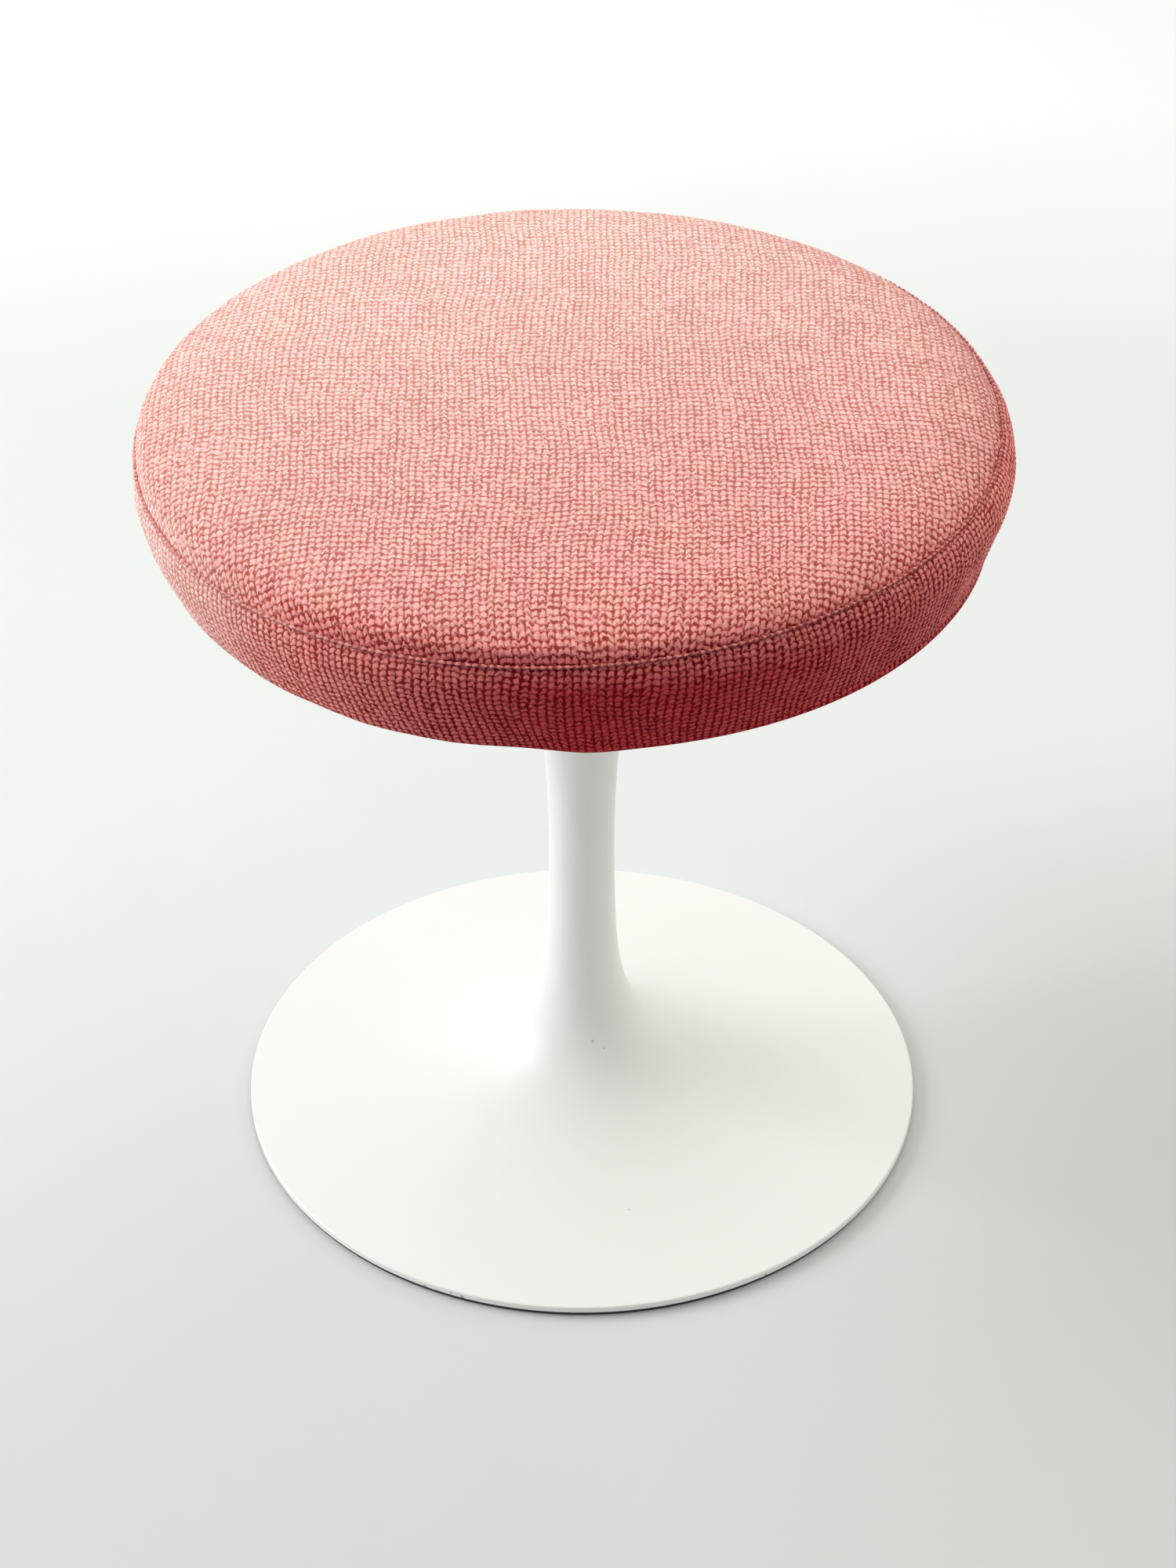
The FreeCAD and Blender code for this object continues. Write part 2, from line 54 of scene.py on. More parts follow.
class Tree:
    """Short calls for building a material's nodes. A value is a socket, a number, or a tuple."""

    def __init__(self, tree):
        self.tree = tree

    def node(self, kind, **settings):
        made = self.tree.nodes.new(kind)
        for name, value in settings.items():
            setattr(made, name, value)
        return made

    def feed(self, socket, value):
        if isinstance(value, bpy.types.NodeSocket):
            self.tree.links.new(value, socket)
        else:
            socket.default_value = value

    def math(self, operation, a, b=0.0):
        made = self.node("ShaderNodeMath", operation=operation)
        for socket, value in zip(made.inputs, (a, b)):
            self.feed(socket, value)
        return made.outputs[0]

    def add(self, a, b):
        return self.math("ADD", a, b)

    def mul(self, a, b):
        return self.math("MULTIPLY", a, b)

    def swing(self, noise, size):
        """A noise brought to either side of nought, size from end to end."""
        return self.mul(self.math("SUBTRACT", noise, 0.5), size)

    def hump(self, turn):
        """1 at every full turn and 0 half way between them."""
        return self.add(0.5, self.mul(self.math("COSINE", turn), 0.5))

    def remap(self, value, low, high, to_low=0.0, to_high=1.0, smooth=False):
        made = self.node("ShaderNodeMapRange", clamp=True)
        made.interpolation_type = "SMOOTHSTEP" if smooth else "LINEAR"
        for socket, x in zip(made.inputs, (value, low, high, to_low, to_high)):
            self.feed(socket, x)
        return made.outputs[0]

    def mix(self, share, a, b, kind="MIX"):
        made = self.node("ShaderNodeMix", data_type="RGBA", blend_type=kind)
        self.feed(made.inputs[0], share)
        self.feed(made.inputs[6], a)
        self.feed(made.inputs[7], b)
        return made.outputs[2]

    def toned(self, colour, by):
        """A colour made darker or lighter by a number."""
        return self.mix(1.0, colour, self.join(by, by, by), "MULTIPLY")

    def xyz(self, vector):
        made = self.node("ShaderNodeSeparateXYZ")
        self.feed(made.inputs[0], vector)
        return made.outputs

    def join(self, x, y, z=0.0):
        made = self.node("ShaderNodeCombineXYZ")
        for socket, value in zip(made.inputs, (x, y, z)):
            self.feed(socket, value)
        return made.outputs[0]

    def scaled(self, vector, by):
        made = self.node("ShaderNodeVectorMath", operation="MULTIPLY")
        self.feed(made.inputs[0], vector)
        self.feed(made.inputs[1], by)
        return made.outputs[0]

    def noise(self, vector, scale, detail=2.0, rough=0.5, colour=False):
        made = self.node("ShaderNodeTexNoise")
        self.feed(made.inputs["Vector"], vector)
        made.inputs["Scale"].default_value = scale
        made.inputs["Detail"].default_value = detail
        made.inputs["Roughness"].default_value = rough
        return made.outputs[1 if colour else 0]

    def spots(self, vector, scale, randomness=1.0):
        """Distance to the nearest of scattered points, in cells."""
        made = self.node("ShaderNodeTexVoronoi")
        self.feed(made.inputs["Vector"], vector)
        made.inputs["Scale"].default_value = scale
        made.inputs["Randomness"].default_value = randomness
        return made.outputs["Distance"]

    def bump(self, height, distance, strength=1.0, under=None):
        made = self.node("ShaderNodeBump")
        made.inputs["Strength"].default_value = strength
        made.inputs["Distance"].default_value = distance
        self.feed(made.inputs["Height"], height)
        if under is not None:
            self.feed(made.inputs["Normal"], under)
        return made.outputs[0]

    def place(self):
        """Where the surface is on the object, in metres."""
        return self.node("ShaderNodeTexCoord").outputs["Object"]

    def attribute(self, name, output="Vector"):
        return self.node("ShaderNodeAttribute", attribute_name=name).outputs[output]

    def finish(self, shader, colour, normal=None, rough=None):
        for key, value in (("Base Color", colour), ("Normal", normal), ("Roughness", rough)):
            if value is not None:
                self.feed(shader.inputs[key], value)


def material(name, colour, rough, metallic=0.0, **sockets):
    """A new material with a Principled shader, as (material, its tree, the shader)."""
    made = bpy.data.materials.new(name)
    made.use_nodes = True
    made.node_tree.nodes.clear()
    t = Tree(made.node_tree)
    shader = t.node("ShaderNodeBsdfPrincipled")
    out = t.node("ShaderNodeOutputMaterial")
    made.node_tree.links.new(shader.outputs[0], out.inputs[0])
    shader.inputs["Base Color"].default_value = (*colour, 1)
    shader.inputs["Roughness"].default_value = rough
    shader.inputs["Metallic"].default_value = metallic
    for key, value in sockets.items():
        shader.inputs[key.replace("_", " ")].default_value = value
    return made, t, shader


# Cloth

# How far the yarns wander across and along the cloth, in nubs
WANDER = (0.90, 1.35)
# How narrow the hollows between rows and between columns are: a higher power is narrower
ROW_POWER, SLIT_POWER = 2.8, 3.4


def weave(t, at, pitch, arch, stray, row_depth, slit_depth, edge):
    """A nubby weave in even columns and rows, as (height, gap, hue, shade, fibres).

    at is the place on the cloth and pitch the size of a nub, both in mm. arch is how far a nub's rounded end rises
    and stray how far one column falls out of step with the next, in nubs. row_depth and slit_depth say how shallow
    and how deep the hollows between rows and between columns get, and edge where the painted shade of the gap
    starts on a nub's side and where it is full. gap is where the hollows are given painted shade."""
    wiggle = t.xyz(t.noise(at, 0.42, 3.0, 0.62, colour=True))
    x, y, _ = t.xyz(at)
    u = t.add(t.math("DIVIDE", x, pitch[0]), t.swing(wiggle[0], WANDER[0]))
    v = t.add(t.math("DIVIDE", y, pitch[1]), t.swing(wiggle[1], WANDER[1]))
    turn = t.mul(u, math.tau)
    rise = t.add(t.math("COSINE", turn), t.mul(t.math("SINE", turn), 0.5))
    v = t.add(v, t.mul(rise, arch / 2))
    step = t.noise(t.join(u, t.mul(v, 0.06)), 0.85, 1.0, 0.5)
    v = t.add(v, t.swing(step, stray))
    fibres = t.noise(t.scaled(at, (1.0, 0.7, 1.0)), 1.5, 3.0, 0.7)

    # How far down the side of a nub a place lies: 0 on its crest, about 1 between it and the next
    depth = t.xyz(t.noise(at, 0.30, 2.0, 0.6, colour=True))
    loose = t.remap(t.noise(at, 0.07, 2.0, 0.6), 0.32, 0.68, 0.84, 1.12)
    row = t.math("POWER", t.hump(t.mul(v, math.tau)), ROW_POWER)
    slit = t.math("POWER", t.hump(turn), SLIT_POWER)
    down_y = t.mul(row, t.remap(depth[0], 0.30, 0.66, *row_depth))
    down_x = t.mul(slit, t.remap(depth[1], 0.32, 0.68, *slit_depth))
    down = t.add(t.mul(t.add(down_x, down_y), loose), t.swing(fibres, 0.50))
    # gap: where the hollows between nubs are given painted shade
    gap = t.remap(down, *edge, smooth=True)

    height = t.math("SUBTRACT", 1.0, t.mul(t.math("MINIMUM", down, 1.4), 0.55))
    height = t.add(height, t.mul(fibres, 0.20))

    # The two dyes change slowly along a column and over a hand's breadth
    streak = t.noise(t.scaled(at, (0.45, 0.05, 1.0)), 1.0, 1.0, 0.5)
    area = t.noise(at, 0.03, 3.0, 0.6)
    hue = t.remap(t.add(t.mul(streak, 0.45), t.mul(area, 0.55)), 0.38, 0.62)
    shade = t.remap(t.noise(at, 0.36, 2.0, 0.6), 0.32, 0.68)
    return height, gap, hue, shade, fibres


# The cloth's colours with light and shade painted in: deep for the shaded front, middle, and pale where the light
# falls fully. Each holds peach yarn, pink yarn, pale yarn and the painted shade of the gaps between them
DEEP = ((0.53, 0.048, 0.055, 1), (0.50, 0.040, 0.070, 1), (0.60, 0.100, 0.112, 1), (0.175, 0.0035, 0.008, 1))
MIDDLE = ((0.99, 0.350, 0.296, 1), (0.99, 0.312, 0.322, 1), (0.99, 0.500, 0.470, 1), (0.40, 0.046, 0.041, 1))
LIT_PALE = ((0.98, 0.735, 0.650, 1), (0.98, 0.690, 0.680, 1), (0.99, 0.830, 0.785, 1), (0.77, 0.345, 0.300, 1))


def by_painted_light(t, painted_light, deep, middle, lit_pale):
    """A colour that goes from deep, the painted shade, through middle to pale, the painted light, as its first number
    goes from 0 to 1.
    """
    first, second = t.remap(painted_light, 0.0, 0.5), t.remap(painted_light, 0.5, 1.0)
    return t.mix(second, t.mix(first, deep, middle), lit_pale)


def lit_colours(t, painted_light, hue, light):
    """Yarn colour with painted light, and the gaps' painted shade. hue runs peach to pink, light (painted highlight)
    plain to pale.
    """
    yarns = [t.mix(light, t.mix(hue, peach, pink), pale) for peach, pink, pale, _ in (DEEP, MIDDLE, LIT_PALE)]
    return by_painted_light(t, painted_light, *yarns), by_painted_light(t, t.remap(painted_light, 0.20, 1.0), DEEP[3], MIDDLE[3], LIT_PALE[3])


def cloth_shader(name, rough, sheen):
    """A dull woollen shader. The attribute "weave" places the weave, and the other attribute paints light and shade in.
    """
    made, t, shader = material(name, MIDDLE[1][:3], rough, Sheen_Weight=sheen, Sheen_Roughness=0.45)
    shader.inputs["Sheen Tint"].default_value = (1.0, 0.74, 0.66, 1)
    shader.inputs["Specular IOR Level"].default_value = 0.0
    return made, t, shader, t.attribute("weave"), t.attribute("painted_light", "Fac")


def cloth(name, weaving, relief_mm, sheen, grain_low):
    """The coral cover cloth. grain_low is how dark its finest fibres get."""
    made, t, shader, at, painted_light = cloth_shader(name, 0.92, sheen)
    height, gap, hue, shade, fibres = weave(t, at, *weaving)
    # A painted highlight on the nubs' crests, fading out towards the gaps
    crest_highlight = t.mul(t.remap(gap, 0.0, 0.22, 0.65, 0.0), t.remap(shade, 0.2, 1.0))
    yarn, hollow_shade = lit_colours(t, painted_light, hue, crest_highlight)
    patch = t.remap(t.noise(at, 0.012, 3.0, 0.6), 0.3, 0.7, 0.96, 1.04)
    grain = t.mul(t.remap(fibres, 0.25, 0.70, grain_low, 1.14), patch)
    grain = t.mul(grain, t.remap(shade, 0.0, 1.0, 0.93, 1.07))
    # The hollows take the gaps' painted shade, mixed in by gap
    t.finish(shader, t.toned(t.mix(gap, yarn, hollow_shade), grain), t.bump(height, relief_mm * MM))
    return made


# Width and length of a nub on the top panel and on the band, in mm
TOP_PITCH, BAND_PITCH = (3.0, 3.65), (3.35, 2.75)
# What weave() takes after the place: pitch, arch, stray, row_depth, slit_depth and edge
top_weave = (TOP_PITCH, 0.22, 1.3, (0.40, 1.25), (0.30, 1.10), (0.0, 1.10))
band_weave = (BAND_PITCH, 0.28, 1.5, (0.45, 1.10), (0.60, 1.20), (0.0, 1.05))
top_cloth = cloth("coral_cloth_top", top_weave, 0.50, 0.07, 0.87)
band_cloth = cloth("coral_cloth_band", band_weave, 0.52, 0.03, 0.85)


def ridge_material():
    """The folded edge of the seam, where the nubs stand in a row."""
    made, t, shader, at, painted_light = cloth_shader("coral_cloth_seam", 0.9, 0.03)
    x, _, _ = t.xyz(at)
    wobble = t.mul(t.noise(at, 0.3, 2.0, 0.6), 1.6)
    strand = t.math("SINE", t.mul(t.add(t.math("DIVIDE", x, BAND_PITCH[0]), wobble), math.tau))
    fibres = t.noise(at, 1.7, 3.0, 0.65)
    height = t.add(t.mul(strand, 0.35), fibres)
    # The ridge gets a painted highlight throughout; between its strands, and in random stretches, it takes the gaps'
    # painted shade
    yarn, hollow_shade = lit_colours(t, painted_light, t.noise(at, 0.09, 2.0, 0.6), 0.30)
    wear_and_shade = t.remap(t.noise(t.scaled(at, (1.0, 0.2, 1.0)), 0.22, 2.0, 0.6), 0.38, 0.54, 0.60, 0.0)
    strand_shade = t.remap(strand, -0.85, 0.15, 0.85, 0.0, smooth=True)
    t.finish(shader, t.mix(t.math("MAXIMUM", strand_shade, wear_and_shade), yarn, hollow_shade), t.bump(height, 0.5 * MM))
    return made


seam_cloth = ridge_material()


# Cushion form

def smooth_line(points, count):
    """Even points along a smooth line through points, and the length of the line up to each."""
    p = np.array(points, float)
    p = np.vstack([2 * p[0] - p[1], p, 2 * p[-1] - p[-2]])
    fine = []
    for a, b, c, d in zip(p, p[1:], p[2:], p[3:]):
        k = [0.0]
        for m, n in ((a, b), (b, c), (c, d)):
            k.append(k[-1] + max(np.linalg.norm(n - m), 1e-9) ** 0.5)
        for s in np.linspace(k[1], k[2], 60, endpoint=False):
            ab = (k[1] - s) / (k[1] - k[0]) * a + (s - k[0]) / (k[1] - k[0]) * b
            bc = (k[2] - s) / (k[2] - k[1]) * b + (s - k[1]) / (k[2] - k[1]) * c
            cd = (k[3] - s) / (k[3] - k[2]) * c + (s - k[2]) / (k[3] - k[2]) * d
            abc = (k[2] - s) / (k[2] - k[0]) * ab + (s - k[0]) / (k[2] - k[0]) * bc
            bcd = (k[3] - s) / (k[3] - k[1]) * bc + (s - k[1]) / (k[3] - k[1]) * cd
            fine.append((k[2] - s) / (k[2] - k[1]) * abc + (s - k[1]) / (k[2] - k[1]) * bcd)
    fine = np.array(fine + [p[-2]])
    length = np.concatenate([[0], np.cumsum(np.linalg.norm(np.diff(fine, axis=0), axis=1))])
    even = np.linspace(0, length[-1], count)
    return np.column_stack([np.interp(even, length, fine[:, i]) for i in range(2)]), even


# Half section of the cushion as if it had no seam: radius and height in mm, from the underside to the crown
CUSHION_BASE_R, CUSHION_BOTTOM_Z, HEM_R = 178.0, 333.4, 138.0
SEAM_R, SEAM_Z, SIDE_TOP_Z, CROWN_Z = 187.6, 381.6, 392.0, 401.8
SECTION = [(CUSHION_BASE_R, CUSHION_BOTTOM_Z), (181.2, 334.4), (183.6, 337.4), (186.0, 343.5), (189.2, 353.0)]
SECTION += [(191.6, 363.5), (192.3, 370.5), (191.9, 376.0), (190.7, 381.0), (188.9, 385.0), (186.0, 388.2)]
SECTION += [(180.2, 391.4), (172.0, 394.1)]
SECTION += [(160 * s, CROWN_Z - 5.2 * s**2) for s in (1, 0.85, 0.7, 0.5, 0.3, 0.1, 0)]
line, line_s = smooth_line(SECTION, 2400)
LINE_END = line_s[-1]
step = np.gradient(line, axis=0)
step /= np.linalg.norm(step, axis=1)[:, None]
outward = np.column_stack([step[:, 1], -step[:, 0]])
SEAM_TILT = math.radians(2.0)
# The cushion's top stands this far off the stem's axis, to the left, and its board doesn't
SEAT_SHIFT, SHIFT_FROM_Z, SHIFT_OVER = -3.2, 334, 30
CLOTH_T = 1.4
NUBS_ROUND = 356
COLUMNS = 3 * NUBS_ROUND
BAND_R = NUBS_ROUND * BAND_PITCH[0] / math.tau
# Mean length of cloth from the seam to the crown, and how far above the seam the mesh's rows even out its waver
TOP_REACH, TOP_EVEN = 191, 60


def on_line(s):
    """Radius, height and outward direction at lengths s along the section."""
    s = np.clip(s, 0, LINE_END)
    return [np.interp(s, line_s, a) for a in (line[:, 0], line[:, 1], outward[:, 0], outward[:, 1])]


def seam_s(azimuth):
    """How far along the section the seam lies at an azimuth. It was sewn a little askew."""
    side = line[:, 1] < SIDE_TOP_Z
    z = SEAM_Z + SEAM_R * np.sin(azimuth) * math.tan(SEAM_TILT) + 0.35 * np.sin(3 * azimuth + 0.6)
    return np.interp(z, line[side, 1], line_s[side])


def bell(x, width):
    return np.exp(-((x / width) ** 2))


def waves(azimuth, seed, orders, size):
    """A slow irregular waver round the cushion."""
    draw = np.random.default_rng(seed)
    total = np.zeros_like(azimuth)
    for n in orders:
        total += draw.normal() * np.sin(n * azimuth + draw.uniform(0, math.tau)) / n**0.5
    return size * total / len(orders) ** 0.5


def turned(radius, height, azimuth):
    """Points at radii and heights in mm round the cushion's own axis, in metres."""
    shift = SEAT_SHIFT * np.clip((height - SHIFT_FROM_Z) / SHIFT_OVER, 0, 1)
    return np.stack([radius * np.sin(azimuth) + shift, -radius * np.cos(azimuth), height], -1) * MM


def grid_faces(rows, columns, closed=True, first=0):
    """Quads between the points of a grid, row after row."""
    i, j = np.meshgrid(np.arange(rows - 1), np.arange(columns if closed else columns - 1), indexing="ij")
    k = (j + 1) % columns
    quads = np.stack([i * columns + j, i * columns + k, (i + 1) * columns + k, (i + 1) * columns + j], -1)
    return (quads.reshape(-1, 4) + first).tolist()


def skin(outer_rows, inner_rows, columns, closed=True, pole=False):
    """Faces of a thin closed skin: an outer grid, then an inner one, then two poles if it has a middle."""
    count = outer_rows * columns
    end = count + inner_rows * columns
    faces = grid_faces(outer_rows, columns, closed)
    faces += [f[::-1] for f in grid_faces(inner_rows, columns, closed, count)]
    out_last, in_last = count - columns, end - columns
    for j in range(columns if closed else columns - 1):
        k = (j + 1) % columns
        faces.append((j, count + j, count + k, k))
        if pole:
            faces.append((out_last + j, out_last + k, end))
            faces.append((in_last + k, in_last + j, end + 1))
        else:
            faces.append((out_last + j, out_last + k, in_last + k, in_last + j))
    if not closed:
        for side in (0, columns - 1):
            outer = [i * columns + side for i in range(outer_rows)]
            inner = [count + i * columns + side for i in range(inner_rows)]
            loop = inner[::-1] + outer if side else outer[::-1] + inner
            faces.append(tuple(loop))
    return faces


def piece(name, points, faces, look, weave_at=None, painted_light=None):
    """A mesh that rides on the seat, with the material look."""
    mesh = bpy.data.meshes.new(name)
    mesh.from_pydata(np.asarray(points).tolist(), [], faces)
    mesh.materials.append(look)
    mesh.validate()
    mesh.update()
    mesh.shade_smooth()
    made = bpy.data.objects.new(name, mesh)
    bpy.context.scene.collection.objects.link(made)
    if weave_at is not None:
        place = mesh.attributes.new("weave", "FLOAT_VECTOR", "POINT")
        place.data.foreach_set("vector", np.asarray(weave_at, np.float32).ravel())
        # How much light and shade is painted into the cloth's colour
        light_paint = mesh.attributes.new("painted_light", "FLOAT", "POINT")
        light_paint.data.foreach_set("value", np.asarray(painted_light, np.float32))
    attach(made, "seat")
    return made


# Radius in mm that counts as the top's edge for the painted light
PAINTED_LIGHT_R = 190


def painted_light_at(azimuth, r, nr, nz):
    """How much light is painted into the cloth: most on top towards the back left and on sides facing the light, none
    on the front.
    """
    nx, ny, up = nr * np.sin(azimuth), -nr * np.cos(azimuth), np.clip(nz, 0, 1)
    x, y = r * np.sin(azimuth) / PAINTED_LIGHT_R, -r * np.cos(azimuth) / PAINTED_LIGHT_R
    side = 1.12 * np.clip(-nx, 0, 1) ** 1.4 + 0.46 * np.clip(nx, 0, 1) ** 3 + 0.35 * np.clip(ny, 0, 1)
    return np.clip(up * (0.855 + 0.20 * y - 0.075 * x) + (1 - up) * side, 0, 1)


# How the cover settles

# Columns round the simulated cover, rows up its band and in over its top, and mm between the top's rows
SETTLE_COLUMNS, BAND_STEPS, TOP_STEPS, TOP_STEP_MM = 176, 8, 22, 6.0
# Frames to simulate, and the most in mm that the result moves the cover
SETTLE_FRAMES, SETTLE_MOST = 20, 0.55


def settle():
    """Swells a slightly roomy cover with a cloth simulation. It is held at the lower edge and far in on the top, and
    nearly held at the seam. Says how far each point then stands out from its row's mean, in mm and at most
    SETTLE_MOST: rows from the lower edge to the seam and on over the top."""
    rows = BAND_STEPS + TOP_STEPS + 1
    azimuth = np.linspace(-math.pi, math.pi, SETTLE_COLUMNS, endpoint=False)
    seams = seam_s(azimuth)
    draw = np.random.default_rng(3)
    start, away, hold = [], [], []
    for i in range(rows):
        above = (i - BAND_STEPS) * TOP_STEP_MM
        s = seams * i / BAND_STEPS if i <= BAND_STEPS else seams + above
        r, z, nr, nz = on_line(s)
        nudge = draw.normal(0, 0.25, SETTLE_COLUMNS)
        start.append(turned(r + nr * nudge, z + nz * nudge, azimuth))
        away.append(np.stack([nr * np.sin(azimuth), -nr * np.cos(azimuth), nz], -1))
        hold.append(1.0 if i in (0, rows - 1) else 0.85 if i == BAND_STEPS else 0.0)
    start = np.concatenate(start)
    mesh = bpy.data.meshes.new("settling")
    mesh.from_pydata(start.tolist(), [], grid_faces(rows, SETTLE_COLUMNS))
    made = bpy.data.objects.new("settling", mesh)
    scene = bpy.context.scene
    scene.collection.objects.link(made)
    held = made.vertex_groups.new(name="held")
    for i, weight in enumerate(hold):
        if weight:
            held.add(range(i * SETTLE_COLUMNS, (i + 1) * SETTLE_COLUMNS), weight, "REPLACE")
    cloth_sim = made.modifiers.new("cloth", "CLOTH")
    settings = {
        "quality": 6, "mass": 0.25, "tension_stiffness": 18, "compression_stiffness": 18, "shear_stiffness": 6,
        "bending_stiffness": 0.4, "shrink_min": -0.022, "vertex_group_mass": "held", "use_pressure": True,
        "uniform_pressure_force": 4,
    }
    for key, value in settings.items():
        setattr(cloth_sim.settings, key, value)
    cloth_sim.settings.effector_weights.gravity = 0
    cloth_sim.collision_settings.use_collision = False
    cloth_sim.point_cache.frame_start, cloth_sim.point_cache.frame_end = 1, SETTLE_FRAMES
    for f in range(1, SETTLE_FRAMES + 1):
        scene.frame_set(f)
    shaped = made.evaluated_get(bpy.context.evaluated_depsgraph_get())
    moved = np.array([v.co[:] for v in shaped.data.vertices])
    out = np.sum((moved - start) * np.concatenate(away), axis=1).reshape(rows, SETTLE_COLUMNS) / MM
    scene.frame_set(1)
    bpy.data.objects.remove(made)
    bpy.data.meshes.remove(mesh)
    out -= out.mean(axis=1, keepdims=True)
    out = sum(np.roll(out, k, axis=1) * w for k, w in zip((-2, -1, 0, 1, 2), (0.1, 0.2, 0.4, 0.2, 0.1)))
    return np.tanh(out / 1.2) * SETTLE_MOST


settled = settle()
SETTLE_AZIMUTH = np.linspace(-math.pi, math.pi, SETTLE_COLUMNS + 1)


def swell(azimuth, row):
    """How far the settled cover stands out at a row counted from the lower edge, between rows where it isn't whole."""
    low = int(np.clip(row, 0, len(settled) - 1))
    high = min(low + 1, len(settled) - 1)
    part = settled[low] + (settled[high] - settled[low]) * np.clip(row - low, 0, 1)
    return np.interp(azimuth, SETTLE_AZIMUTH, np.append(part, part[0]))


# Folds where the top panel is eased into the seam: azimuth in degrees, mm above the seam, slant, length, width, depth
FOLDS = [
    (-19, 3.6, -0.10, 34, 1.5, 1.25), (-11, 4.6, -0.06, 26, 1.4, 0.95), (-25, 5.5, -0.18, 16, 1.5, 0.8),
    (-4, 3.4, 0.04, 30, 1.4, 1.2), (5, 5.2, 0.08, 22, 1.3, 0.8), (10, 3.2, 0.10, 24, 1.4, 1.15),
    (17, 5.6, 0.30, 15, 1.4, 0.9), (24, 4.6, 0.34, 13, 1.5, 1.0), (31, 4.2, 0.36, 12, 1.5, 0.8),
    (-33, 4.0, -0.30, 14, 1.6, 0.9), (-42, 4.6, -0.42, 12, 1.6, 0.8), (-52, 4.0, -0.40, 10, 1.7, 0.7),
    (40, 4.4, 0.30, 11, 1.6, 0.7), (52, 4.0, 0.35, 10, 1.6, 0.6), (-66, 4.2, -0.3, 10, 1.8, 0.5),
    (70, 4.4, 0.3, 10, 1.8, 0.6), (95, 4.0, -0.2, 12, 1.7, 0.6), (118, 4.2, 0.3, 11, 1.7, 0.6),
    (140, 4.0, -0.2, 14, 1.6, 0.7), (163, 4.4, 0.2, 16, 1.6, 0.7), (-172, 4.0, -0.2, 12, 1.6, 0.6),
    (-148, 4.2, 0.25, 13, 1.6, 0.7), (-121, 4.0, -0.3, 12, 1.7, 0.6), (-94, 4.2, 0.2, 11, 1.8, 0.6),
]


def pinch(azimuth):
    """How hard the seam pulls the cloth in: less at the front left, where the cover is fullest."""
    return 1 - 0.70 * bell(np.degrees(azimuth) + 44, 21)


def nub_relief(x, y, pitch, height):
    """The low relief of the nubs themselves, so that edges of the cloth look nubby."""
    return height * (np.sin(math.pi * x / pitch[0]) ** 2 * np.sin(math.pi * y / pitch[1]) ** 2 - 0.25)


def top_push(azimuth, above):
    """How far the top panel stands out from the section, in mm, at mm above the seam."""
    push = -pinch(azimuth) * (0.7 * bell(above, 1.6) + 1.4 * bell(above, 8.0))
    for centre, height, slant, length, width, depth in FOLDS:
        along = (np.degrees(azimuth) - centre + 180) % 360 - 180
        along = np.radians(along) * SEAM_R
        off = above - height - slant * along
        crease = bell(along, length * 0.62)
        # A crease, and the roll of cloth above it
        push -= 0.7 * depth * crease * bell(off, width)
        push += 0.40 * depth * crease * bell(off - 3.2, 2.6)
    push += np.exp(-above / 26) * waves(azimuth, 11, (5, 7, 9, 12, 16, 21, 27), 0.4)
    return push + swell(azimuth, BAND_STEPS + above / TOP_STEP_MM)


def band_push(azimuth, share, s):
    """How far the band stands out from the section, in mm, at a share of its height and a length s."""
    below = s / max(share, 1e-6) - s
    push = -pinch(azimuth) * (0.7 * bell(below, 1.8) + 1.4 * bell(below, 7.5))
    # The lower edge stands out on the left and is drawn in on the right. It wavers, and has a dent and a bulge in front
    low = 1 / (1 + np.exp((s - 30) / 6))
    push += low * (-0.8 - 5.2 * np.sin(azimuth) * np.cos(azimuth / 2) ** 2)
    push += low * waves(azimuth, 5, (6, 9, 13, 17, 22, 29), 0.8)
    push -= low * 2.2 * bell(np.degrees(azimuth) + 8, 5)
    push += low * 1.2 * bell(np.degrees(azimuth) - 2, 6)
    push += waves(azimuth, 8, (3, 4, 7, 10), 0.4) * np.clip(below / 12, 0, 1)
    # The band's ends are sewn together at the back
    push -= 1.1 * bell((math.pi - np.abs(azimuth)) * SEAM_R, 1.4)
    return (push + swell(azimuth, share * BAND_STEPS)) * np.clip(s / 6, 0, 1)


def bend_top(x, y):
    """The top panel's yarns run a little out of true."""
    bent_x = x + 1.3 * np.sin(y / 31 + 0.8) + 0.6 * np.sin(x / 19 + y / 23 + 2.0) + 0.35 * np.sin(y / 7.3 + x / 41)
    bent_y = y + 1.5 * np.sin(x / 37 + 1.9) + 0.8 * np.sin(x / 17 - y / 29) + 0.35 * np.sin(x / 8.1 + y / 33)
    return bent_x, bent_y


def bend_band(azimuth, s):
    """The band's yarns too: they follow its taper and waver round it."""
    x = azimuth * BAND_R + 1.1 * np.sin(4 * azimuth + s / 16) + 0.6 * np.sin(23 * azimuth + s / 9 + 1.2)
    y = s + 0.9 * np.sin(7 * azimuth + 0.5) + 0.45 * np.sin(41 * azimuth + s / 12)
    return x, y


